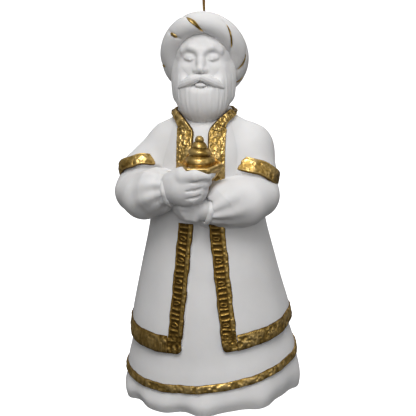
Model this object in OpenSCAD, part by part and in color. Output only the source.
// Hanging porcelain bell in the form of a robed, bearded figure in a turban, who holds a gilt casket.
// Millimetres, +Z up. The origin is the top of the hanging loop, and the figure faces -Y.
// The modules draw the figure in its own heights, with the bell's rim at 0 and its axis on Z, and
// figure() hangs it under the loop. Left and right are the figure's own: its left is at +X.

/* [Overall] */
// Height of the porcelain figure, from its rim to the hole in its turban
figure_h = 113; // [112.6:0.1:113.6]
// Height of the cord loop above the turban
loop_h = 48; // [47:0.5:50]
// How far the head leans back, in degrees
head_tilt = 12; // [10:0.5:13]

/* [Bell wall] */
// Radius of the ruffle at the rim, which scales every skirt
rim_r = 26; // [25.8:0.1:26.2]
// Radius of the hole through the neck, for the cord
neck_bore_r = 1.2; // [1:0.1:1.4]
// Radius of the hole in the turban, where the cord comes out
crown_bore_r = 1.2; // [1.1:0.1:1.4]

/* [Gilt trims] */
// How far the trims stand out of the porcelain
trim_t = 0.5; // [0.4:0.05:0.6]
// Width of the trims down the coat's two front edges
front_trim_w = 4.2; // [3.8:0.1:4.4]
// Width of the trims along the coat's edges above the casket
lapel_w = 4.8; // [4.4:0.1:5]
// Height of the trim round the coat's hem
coat_trim_h = 5.2; // [4.8:0.1:5.4]
// Height of the trim round the under-robe's hem
robe_trim_h = 2.4; // [2:0.1:2.6]

/* [Clapper] */
// Radius of the porcelain ball
ball_r = 5; // [4.6:0.1:5]
// Height of the ball's centre above the rim
ball_z = 16; // [15.5:0.5:17]
// Radius of the brass wire
wire_r = 0.35; // [0.3:0.05:0.35]

/* [Cord] */
// Radius of one strand of the cord
strand_r = 0.225; // [0.2:0.005:0.225]

/* [Hidden] */

$fn = 48;
bisque = "ghostwhite";
gilt = "darkgoldenrod";
brass = "goldenrod";
// Clearance between pieces that lie against each other
seam = 0.02;
// Size of a block that cuts away all on one side of a plane
reach = 60;
// What the skirts' radii are multiplied by, since their knots are drawn for a rim of radius 26
skirt_scale = rim_r / 26;

// The head's frame stands on the neck and leans back; the cord leaves through its crown
neck_z = figure_h - 27;
crown_h = (figure_h - neck_z) / cos(head_tilt);
crown_y = crown_h * sin(head_tilt);

// Heights of the layers' hems, the waist and the seam at the neck, where the layers end
robe_hem_z = 7;
coat_hem_z = 18.4;
waist_z = 56;
neck_seam_z = 84;
// The part of the coat above this height is cut out of what lies against the chest
chest_z = 45;

// Half gaps between the coat's front edges at its hem, at the waist and at the neck
gap_hem = 6.2;
gap_waist = 2.2;
gap_neck = 2.4;

// The front trims end under the hands, and the lapels' trims start behind the casket
front_trim_top_z = waist_z - 4.4;
lapel_low_z = 69;
// The stand-up collar rests on the neck's seam
collar_h = 1.8;
collar_z = neck_seam_z + 0.05;

// The cavity's flat top, which the washer bears on
seat_z = 78;
seat_r = 4.4;

// Knots of the skirts' outlines, as [radius, height], from the hem up
shell_knots = [[25.5, 0], [26, 3], [24.9, 7], [23.4, 13], [20.4, 27], [17.8, 39], [14.9, 52],
    [13.7, 64], [12.3, 74], [9.6, 80], [6.2, neck_seam_z], [5.6, neck_z]];
robe_knots = [[25.3, robe_hem_z], [24.4, 11.5], [23.3, 16], [21.3, 27], [18.8, 39], [15.9, 52],
    [14.6, 64], [13.2, 74], [10.4, 80], [6.8, neck_seam_z]];
coat_knots = [[23.8, coat_hem_z], [23.4, 22], [22.6, 27], [19.9, 39], [17, 52], [15.5, 64],
    [14.1, 74], [11.4, 80], [8.2, neck_seam_z]];
cavity_knots = [[23, 0], [23.4, 3], [22.3, 7], [20.8, 13], [17.8, 27], [15.2, 39], [12.3, 52],
    [11, 64], [8.6, 73], [seat_r, seat_z]];
// Knots of the head, its hollow and the beard, in the head's frame
head_knots = [[5.6, -2.4], [7.4, 1], [8.1, 6], [8.5, 13], [8.4, 18], [7.2, 22], [4, 25]];
skull_knots = [[1.3, 0.6], [4.6, 2.4], [5.7, 7], [6, 13], [5.8, 18], [4.2, 21.6], [1.4, 23]];
beard_knots = [[0.6, -4], [3.6, -3.4], [6, -1], [7.2, 3], [7.6, 7], [7.2, 11], [6.4, 13]];
crown_knots = [[7.6, 3], [9.4, 7], [10.4, 12], [10.3, 17], [9, 22], [5.6, 26], [2.8, crown_h - 0.2],
    [0.4, crown_h]];

// Inside the bell the cord's two strands are laid together. The washer is on them, and the knot under it
cord_r = 2 * strand_r;
washer_r = 3.6;
washer_t = 0.6;
knot_z = seat_z - washer_t - 2.2;
// The loop at the cord's end and the eye of the clapper's wire, which hang in each other at link_z
loop_mean_r = 0.9;
loop_z = knot_z - 1.9;
link_z = loop_z - loop_mean_r;
eye_mean_r = 1;
eye_z = link_z + strand_r + 0.04 - (eye_mean_r - wire_r);
// The wire's foot, turned up into a ring under the ball
foot_mean_r = 0.7;
foot_z = ball_z - ball_r - 0.6;

// The cord's route, up one strand, over the top and down the other
cord_route = [
    [-0.1, -0.3, -48], [-0.2, -0.3, -44], [-0.3, -0.2, -40], [-0.4, -0.2, -36], [-0.6, -0.1, -31],
    [-0.8, -0.1, -26], [-0.9, 0, -21], [-1.1, 0, -16], [-1.3, 0, -11], [-1.5, 0, -6],
    [-1.6, 0, -3], [-1.5, 0, -1.6], [-1, 0, -0.6], [0, 0, -0.2], [1, 0, -0.6], [1.5, 0, -1.6],
    [1.6, 0, -3], [1.5, 0, -6], [1.3, 0, -11], [1.1, 0, -16], [0.9, 0, -21], [0.8, 0.1, -26],
    [0.6, 0.1, -31], [0.4, 0.2, -36], [0.3, 0.2, -40], [0.2, 0.3, -44], [0.1, 0.3, -48]
];

// Each arm, from the shoulder to the end of the short sleeve, round the elbow and to the wrist
arm_left = [[10.6, 0.5, 74.8], [13.8, -4.8, 66.8], [15.4, -6.4, 60.8], [3.6, -18.2, 60.8]];
arm_right = [[-9.2, 0.5, 73.6], [-18.8, -4.8, 68.4], [-20, -6.4, 62], [-9, -17.6, 66.9]];
// The ways that the openings of the two short sleeves face
opening_left = [-0.1, -0.65, -0.75];
opening_right = [0.1, -0.65, -0.75];
// Radii of the arms, where the left short sleeve is the wider one
shoulder_r = 7.2;
sleeve_left_r = 7;
sleeve_right_r = 5.6;
elbow_r = 5.6;
wrist_r = 4.2;
// The band round a short sleeve's opening and the cuff at the wrist
armband_w = 3.2;
cuff_w = 1.4;
// The middles of the fists
palm_left = [-1.6, -18.4, 60.8];
palm_right = [-3.6, -20.2, 68.4];
finger_r = 1.5;

// The casket's place against the chest, its size at the rim, and its lid
casket_at = [0.6, -18, 66];
casket_h = 8.3;
casket_r = 6.5;
rim_h = 1.4;
lid_h = 7;

// The moustache, from tip to tip in the head's frame
moustache_path = [[-5, -8, 5.8], [-3.6, -8.9, 6.8], [-1.8, -9.9, 8], [0, -10.2, 8.2],
    [1.8, -9.9, 8], [3.6, -8.9, 6.8], [5, -8, 5.8]];
moustache_r = [0.3, 0.8, 1.1, 0.9, 1.1, 0.8, 0.3];

// The turban's roll, an oval ring that rises over the brow and falls behind the ears
roll_r = 3.2;
roll_at = [0, 0.4, 15.2];
roll_wide = 9.4;
roll_long = 11.6;
roll_lean = 55;
roll_normal = [0, sin(roll_lean), cos(roll_lean)];
// Its gilt creases, from one [angle along the roll, angle round it] to another, and their half-widths
creases = [
    [[-101, -18], [-100, -48], 0.24], [[-50, -34], [-45, -84], 0.34], [[-20, -8], [4, -112], 0.5],
    [[38, -20], [64, -96], 0.32], [[85, -26], [104, -86], 0.22], [[117, -28], [127, -62], 0.22]
];

/* ---- curves and shapes ---- */

// One point of the smooth curve through four knots, at t from the second (0) to the third (1)
function between(a, b, c, d, t) = 0.5 * (2 * b + (c - a) * t + (2 * a - 5 * b + 4 * c - d) * t * t
    + (3 * b - a - 3 * c + d) * t * t * t);

// A smooth curve through the knots, with so many steps between two of them
function smooth(p, steps = 3) = [
    for (i = [0 : len(p) - 2], j = [0 : steps - 1])
        between(p[max(i - 1, 0)], p[i], p[i + 1], p[min(i + 2, len(p) - 1)], j / steps),
    p[len(p) - 1]
];

// The same curve with its radii grown to the rim's size and moved out by d
function skirt(knots, d = 0) = [for (q = smooth(knots)) [q[0] * skirt_scale + d, q[1]]];

// Radius of a skirt at height z
function radius_at(knots, z) = lookup(z, [for (q = skirt(knots)) [q[1], q[0]]]);

// A direction's two turns, away from Z and about Z
function aim(v) = [0, acos(v[2] / norm(v)), atan2(v[1], v[0])];

// Triangles between ring i and ring o of n points each
function ring_faces(i, o, n) = [for (j = [0 : n - 1]) each
    [[i * n + j, i * n + (j + 1) % n, o * n + j],
     [o * n + j, i * n + (j + 1) % n, o * n + (j + 1) % n]]];

// The solid under a curve of [radius, height] points
module spun(curve) {
    rotate_extrude() polygon(concat([[0, curve[0][1]]], curve, [[0, curve[len(curve) - 1][1]]]));
}

// A ring on the outside of a skirt, between two heights
module skirt_band(knots, z0, z1, d) {
    inner = [for (q = skirt(knots)) if (q[1] > z0 + 0.1 && q[1] < z1 - 0.1) q];
    rows = concat([[radius_at(knots, z0), z0]], inner, [[radius_at(knots, z1), z1]]);
    rotate_extrude() polygon(concat([for (q = rows) q + [seam, 0]],
        [for (i = [len(rows) - 1 : -1 : 0]) rows[i] + [d, 0]]));
}

// An upright slab in front of the axis, from x0 to x1 at height z0 and from x2 to x3 at z1
module front_slab(z0, z1, x0, x1, x2, x3) {
    rotate([90, 0, 0]) linear_extrude(reach) polygon([[x0, z0], [x1, z0], [x3, z1], [x2, z1]]);
}

// A round limb from p to q, with round ends of radius r and s
module limb(p, q, r, s) hull() {
    translate(p) sphere(r, $fn = 20);
    translate(q) sphere(s, $fn = 20);
}

// The thickness at place i, where r is one radius or a list of them
function radius(r, i) = is_list(r) ? r[i] : r;

// A tube swept along a path that nowhere runs along the normal; closed joins its ends into a ring
module swept(path, normal, r, sides = 8, closed = false) {
    n = len(path);
    rings = [for (i = [0 : n - 1])
        let (a = closed ? path[(i + n - 1) % n] : path[max(i - 1, 0)],
            b = closed ? path[(i + 1) % n] : path[min(i + 1, n - 1)],
            u = cross(normal, b - a) / norm(cross(normal, b - a)),
            w = cross(u, (b - a) / norm(b - a)))
        for (j = [0 : sides - 1])
            path[i] + radius(r, i) * (cos(360 * j / sides) * u + sin(360 * j / sides) * w)];
    wall = [for (i = [0 : n - (closed ? 1 : 2)]) each ring_faces(i, (i + 1) % n, sides)];
    caps = closed ? [] : [[for (j = [sides - 1 : -1 : 0]) j],
        [for (j = [0 : sides - 1]) (n - 1) * sides + j]];
    polyhedron(rings, concat(wall, caps), convexity = 6);
}

// A ring of round wire
module wire_ring(mean_r, r) rotate_extrude() translate([mean_r, 0]) circle(r, $fn = 24);

// Hangs what is drawn in the figure's heights under the loop, with the cord's hole on the axis
module figure() translate([0, -crown_y, -figure_h - loop_h]) children();

// The head's own frame: it stands on the neck and leans back
module on_neck() figure() translate([0, 0, neck_z]) rotate([-head_tilt, 0, 0]) children();

// Draws on the figure's left for s = 1 and on its right for s = -1
module side(s) mirror([s < 0 ? 1 : 0, 0, 0]) children();

/* ---- cord ---- */

module hanging_loop() color(brass) swept(smooth(cord_route), [0, 1, 0], strand_r);

module inner_cord() color(brass) figure()
    swept([[0, 0, seat_z - washer_t], [0, 0, neck_z - 3], [0, 0.2, neck_z + 2],
        [0, crown_y * 0.5, neck_z + 13.5], [0, crown_y - 0.2, figure_h - 0.6]], [1, 0, 0], cord_r, 10);

module neck_washer() color(brass) figure() translate([0, 0, seat_z - washer_t]) difference() {
    cylinder(r = washer_r, h = washer_t);
    translate([0, 0, -1]) cylinder(r = cord_r + 0.2, h = washer_t + 2);
}

module cord_knot() color(brass) figure() translate([0, 0, knot_z])
    spun([[0.6, 0], [1.1, 0.6], [1.2, 1.3], [0.9, 2], [cord_r, 2.2]]);

/* ---- bell wall and clothes ---- */

module bell_shell() color(bisque) figure() difference() {
    spun(skirt(shell_knots));
    cavity();
    translate([0, 0, seat_z - 1]) cylinder(r = neck_bore_r, h = neck_z - seat_z + 2);
}

module cavity() spun(concat([[cavity_knots[0][0] * skirt_scale, -1]], skirt(cavity_knots)));

module under_robe() color(bisque) figure() difference() {
    spun(skirt(robe_knots));
    spun(concat([[radius_at(shell_knots, robe_hem_z - 1), robe_hem_z - 1]],
        [for (q = skirt(shell_knots, seam)) if (q[1] > robe_hem_z - 1) q]));
}

module coat() color(bisque) figure() difference() {
    spun(skirt(coat_knots));
    spun(skirt(robe_knots, seam));
    front_slab(coat_hem_z - 1, waist_z, -gap_hem, gap_hem, -gap_waist, gap_waist);
    front_slab(waist_z - seam, neck_seam_z + 1, -gap_waist, gap_waist, -gap_neck, gap_neck);
}

/* ---- gilt trims ---- */

module robe_hem_trim() color(gilt) figure()
    skirt_band(robe_knots, robe_hem_z + 0.1, robe_hem_z + robe_trim_h, trim_t);

// The hem's trim stops at the outer edges of the two front trims
module coat_hem_trim() color(gilt) figure() difference() {
    skirt_band(coat_knots, coat_hem_z, coat_hem_z + coat_trim_h, trim_t);
    x0 = gap_hem + front_trim_w + seam;
    x1 = x0 - (gap_hem - gap_waist) * coat_trim_h / (waist_z - coat_hem_z);
    front_slab(coat_hem_z - seam, coat_hem_z + coat_trim_h + seam, -x0, x0, -x1, x1);
}

module front_trim(s) color(gilt) figure() side(s) intersection() {
    skirt_band(coat_knots, coat_hem_z, front_trim_top_z, trim_t);
    front_slab(coat_hem_z, waist_z, gap_hem, gap_hem + front_trim_w, gap_waist, gap_waist + front_trim_w);
}
module front_trim_left() front_trim(1);
module front_trim_right() front_trim(-1);

module lapel_trim(s) color(gilt) figure() side(s) intersection() {
    skirt_band(coat_knots, lapel_low_z, neck_seam_z - 0.2, trim_t);
    front_slab(waist_z, neck_seam_z + 1, gap_waist, gap_waist + lapel_w, gap_neck, gap_neck + lapel_w);
}
module lapel_trim_left() lapel_trim(1);
module lapel_trim_right() lapel_trim(-1);

// The stand-up collar, a flared ring with its front left out
module collar_trim() color(gilt) difference() {
    figure() translate([0, 0, collar_z])
        rotate_extrude() polygon([[6.9, 0], [8.1, 0], [9.6, collar_h], [8.7, collar_h]]);
    figure() front_slab(collar_z - 1, collar_z + collar_h + 1, -4.6, 4.6, -5.4, 5.4);
    on_neck() beard_outline(seam);
}

/* ---- arms and hands ---- */

function arm(s) = s > 0 ? arm_left : arm_right;
function palm(s) = s > 0 ? palm_left : palm_right;

function opening(s) = s > 0 ? opening_left : opening_right;

function sleeve_r(s) = s > 0 ? sleeve_left_r : sleeve_right_r;

module coat_sleeve_solid(s, d) limb(arm(s)[0], arm(s)[1], shoulder_r + d, sleeve_r(s) + d);

// The slice of space from z0 to z1 along the way that a short sleeve's opening faces
module at_opening(s, z0, z1) translate(arm(s)[1]) rotate(aim(opening(s))) translate([0, 0, z0])
    cylinder(r = reach / 2, h = z1 - z0);

module puffed_sleeve_solid(s) {
    limb(arm(s)[1], arm(s)[2], elbow_r - 0.4, elbow_r);
    limb(arm(s)[2], arm(s)[3], elbow_r, wrist_r);
}

// The upper body, for cutting what lies against it; d grows it
module chest(d = seam) spun([for (q = skirt(coat_knots, d)) if (q[1] > chest_z) q]);

module coat_sleeve(s) color(bisque) figure() difference() {
    coat_sleeve_solid(s, 0);
    at_opening(s, 0, reach);
    chest();
}
module coat_sleeve_left() coat_sleeve(1);
module coat_sleeve_right() coat_sleeve(-1);

// A band round the opening of the short sleeve
module armband(s) color(gilt) figure() difference() {
    intersection() {
        coat_sleeve_solid(s, trim_t);
        at_opening(s, -armband_w, 0);
    }
    coat_sleeve_solid(s, seam);
    chest();
}
module armband_left() armband(1);
module armband_right() armband(-1);

// What is drawn stands on the wrist's plane, with +Z along the forearm towards the hand
module at_wrist(s) translate(arm(s)[3]) rotate(aim(arm(s)[3] - arm(s)[2])) children();
module past_wrist(s) at_wrist(s) translate([0, 0, -seam]) cylinder(r = reach / 2, h = reach);
module before_wrist(s) at_wrist(s) translate([0, 0, cuff_w + seam - reach])
    cylinder(r = reach / 2, h = reach);

module puffed_sleeve(s) color(bisque) figure() difference() {
    puffed_sleeve_solid(s);
    intersection() {
        coat_sleeve_solid(s, trim_t + seam);
        at_opening(s, -reach, seam);
    }
    chest();
    past_wrist(s);
    casket_solid(seam);
}
module puffed_sleeve_left() puffed_sleeve(1);
module puffed_sleeve_right() puffed_sleeve(-1);

// The narrow cuff that gathers a sleeve at the wrist
module cuff_solid(s, d) at_wrist(s) translate([0, 0, -d])
    cylinder(r = wrist_r + 0.5 + d, h = cuff_w + 2 * d);
module wrist_cuff(s) color(bisque) figure() difference() {
    cuff_solid(s, 0);
    chest(trim_t + seam);
}
module wrist_cuff_left() wrist_cuff(1);
module wrist_cuff_right() wrist_cuff(-1);

// A loose fist: the back of the hand and four curled fingers. The right one reaches towards +X from
// its wrist and the left one towards -X.
module hand_solid(s) {
    limb(arm(s)[3], palm(s), wrist_r, 4.4);
    for (i = [0 : 3])
        limb(palm(s) + [0, -1.6, 2.8 - 1.9 * i], palm(s) + [-s * 5, 0.2, 3.4 - 2.4 * i], 2, finger_r);
}

module hand_right() color(bisque) figure() difference() {
    hand_solid(-1);
    casket_solid(seam);
    cuff_solid(1, seam);
    before_wrist(-1);
    chest(trim_t + seam);
}

// The left hand lies under the right one and supports the casket
module hand_left() color(bisque) figure() difference() {
    hand_solid(1);
    translate([-reach / 2, -reach, palm_right[2] - 5.4]) cube(reach);
    cuff_solid(-1, seam);
    before_wrist(1);
    chest();
}

/* ---- casket ---- */

// A six-sided box with a heavier rim; d grows it, for cutting its seat
module casket_solid(d) translate(casket_at - [0, 0, d]) {
    cylinder(r = casket_r - 0.5 + d, h = casket_h - rim_h + d, $fn = 6);
    translate([0, 0, casket_h - rim_h]) cylinder(r = casket_r + d, h = rim_h + 2 * d, $fn = 6);
}

module casket_body() color(gilt) figure() difference() {
    casket_solid(0);
    chest(trim_t + seam);
}

// A stepped cone of three rounded rings
module casket_lid() color(gilt) figure() translate(casket_at + [0, 0, casket_h])
    spun([[3.9, 0], [4.25, 1.2], [3.9, 2.2], [3, 2.9], [3.2, 3.6], [3, 4.4], [1.9, 5.2], [1.9, 5.7],
        [1.6, 6.2], [0.7, lid_h]]);

module casket_finial() color(gilt) figure() translate(casket_at + [0, 0, casket_h + lid_h]) {
    cylinder(r = 0.5, h = 0.6);
    translate([0, 0, 1]) sphere(0.9);
}

/* ---- head ---- */

// The nose, shared by the head and by what has to clear it
module nose(d) limb([0, -7.6, 14.4], [0, -9.4, 10.6], 0.8 + d, 1.2 + d);

module head_outline(d) spun([for (q = smooth(head_knots)) q + [d, 0]]);
module beard_outline(d) hull() for (s = [-1, 1])
    translate([2 * s, -2.4, 0]) spun([for (q = smooth(beard_knots)) q + [d, 0]], $fn = 32);
module crown_outline(d) translate([0, 0.6, 0]) spun([for (q = smooth(crown_knots)) q + [d, 0]]);

module head() color(bisque) difference() {
    on_neck() union() {
        head_outline(0);
        nose(0);
        for (s = [-1, 1]) translate([s * 3.2, -6.9, 14.8]) sphere(1.3);
        for (s = [-1, 1]) limb([s * 1.2, -7.6, 16.9], [s * 5.2, -6.2, 16.7], 0.8, 0.6);
    }
    on_neck() spun(smooth(skull_knots));
    on_neck() translate([0, 0, -3]) cylinder(r = neck_bore_r, h = 6);
    on_neck() cylinder(r = crown_bore_r, h = crown_h + 1);
    figure() spun(skirt(shell_knots, seam));
    figure() spun(skirt(robe_knots, seam));
    figure() spun(skirt(coat_knots, seam));
}

// The full beard, round the lower face from ear to ear and down to the chest
module beard() color(bisque) difference() {
    on_neck() beard_outline(0);
    on_neck() head_outline(seam);
    on_neck() nose(seam);
    on_neck() translate([-reach / 2, 2, -reach / 2]) cube(reach);
    figure() spun(skirt(shell_knots, seam));
    figure() spun(skirt(coat_knots, seam));
    figure() spun(skirt(robe_knots, seam));
}

module moustache() color(bisque) on_neck() difference() {
    swept(moustache_path, [0, 0, 1], moustache_r, 10);
    beard_outline(seam);
    head_outline(seam);
}

// The turban's cap, which is above the roll's plane
module turban_crown() color(bisque) on_neck() difference() {
    crown_outline(0);
    translate(roll_at) rotate([-roll_lean, 0, 0]) translate([-1, -1, -2] * reach / 2) cube(reach);
    head_outline(seam);
    cylinder(r = crown_bore_r, h = crown_h + 1);
}

// A point of the roll's centre line at angle a from the brow, and one on a circle of radius out round it
function roll_point(a) = roll_at + [roll_wide * sin(a),
    -roll_long * cos(a) * cos(roll_lean), roll_long * cos(a) * sin(roll_lean)];
function round_roll(a, b, out) =
    let (away = roll_point(a) - roll_at)
    roll_point(a) + out * (cos(b) * away / norm(away) + sin(b) * roll_normal);

module roll_ring() swept([for (i = [0 : 27]) roll_point(360 * i / 28)], roll_normal, roll_r, 12, true);

module turban_roll() color(bisque) on_neck() difference() {
    roll_ring();
    head_outline(seam);
    crown_outline(seam);
    beard_outline(seam);
}

// The gilt creases, short lines that wind round the roll
module turban_gilding() color(gilt) on_neck()
    for (c = creases)
        swept([for (t = [0 : 0.125 : 1])
            let (place = c[0] * (1 - t) + c[1] * t)
            round_roll(place[0], place[1], roll_r + c[2] + seam)], roll_normal, c[2], 6);

/* ---- clapper ---- */

// The end of the cord below the knot, which twists, and its loop across Y
module tail_loop() color(brass) figure() {
    translate([0, 0, loop_z]) rotate([0, 90, 0]) wire_ring(loop_mean_r, strand_r);
    translate([0, 0, loop_z + loop_mean_r]) cylinder(r = 0.4, h = knot_z - loop_z - loop_mean_r - 0.05);
}

// The wire's eye hangs on the loop, and its foot is turned up under the ball
module clapper_wire() color(brass) figure() {
    translate([0, 0, eye_z]) rotate([90, 0, 0]) wire_ring(eye_mean_r, wire_r);
    translate([0, 0, foot_z]) cylinder(r = wire_r, h = eye_z - eye_mean_r - foot_z);
    translate([0, 0, foot_z]) rotate([90, 0, 0]) wire_ring(foot_mean_r, wire_r - 0.05);
}

module clapper_ball() color(bisque) figure() translate([0, 0, ball_z]) difference() {
    sphere(ball_r);
    translate([0, 0, -ball_r - 1]) cylinder(r = wire_r + 0.03, h = 2 * ball_r + 2);
    translate([0, 0, foot_z - ball_z]) sphere(foot_mean_r + wire_r + 0.05);
}

hanging_loop();
inner_cord();
neck_washer();
cord_knot();
bell_shell();
under_robe();
coat();
robe_hem_trim();
coat_hem_trim();
front_trim_left();
front_trim_right();
lapel_trim_left();
lapel_trim_right();
collar_trim();
coat_sleeve_left();
coat_sleeve_right();
armband_left();
armband_right();
puffed_sleeve_left();
puffed_sleeve_right();
wrist_cuff_left();
wrist_cuff_right();
hand_left();
hand_right();
casket_body();
casket_lid();
casket_finial();
head();
beard();
moustache();
turban_roll();
turban_crown();
turban_gilding();
tail_loop();
clapper_wire();
clapper_ball();
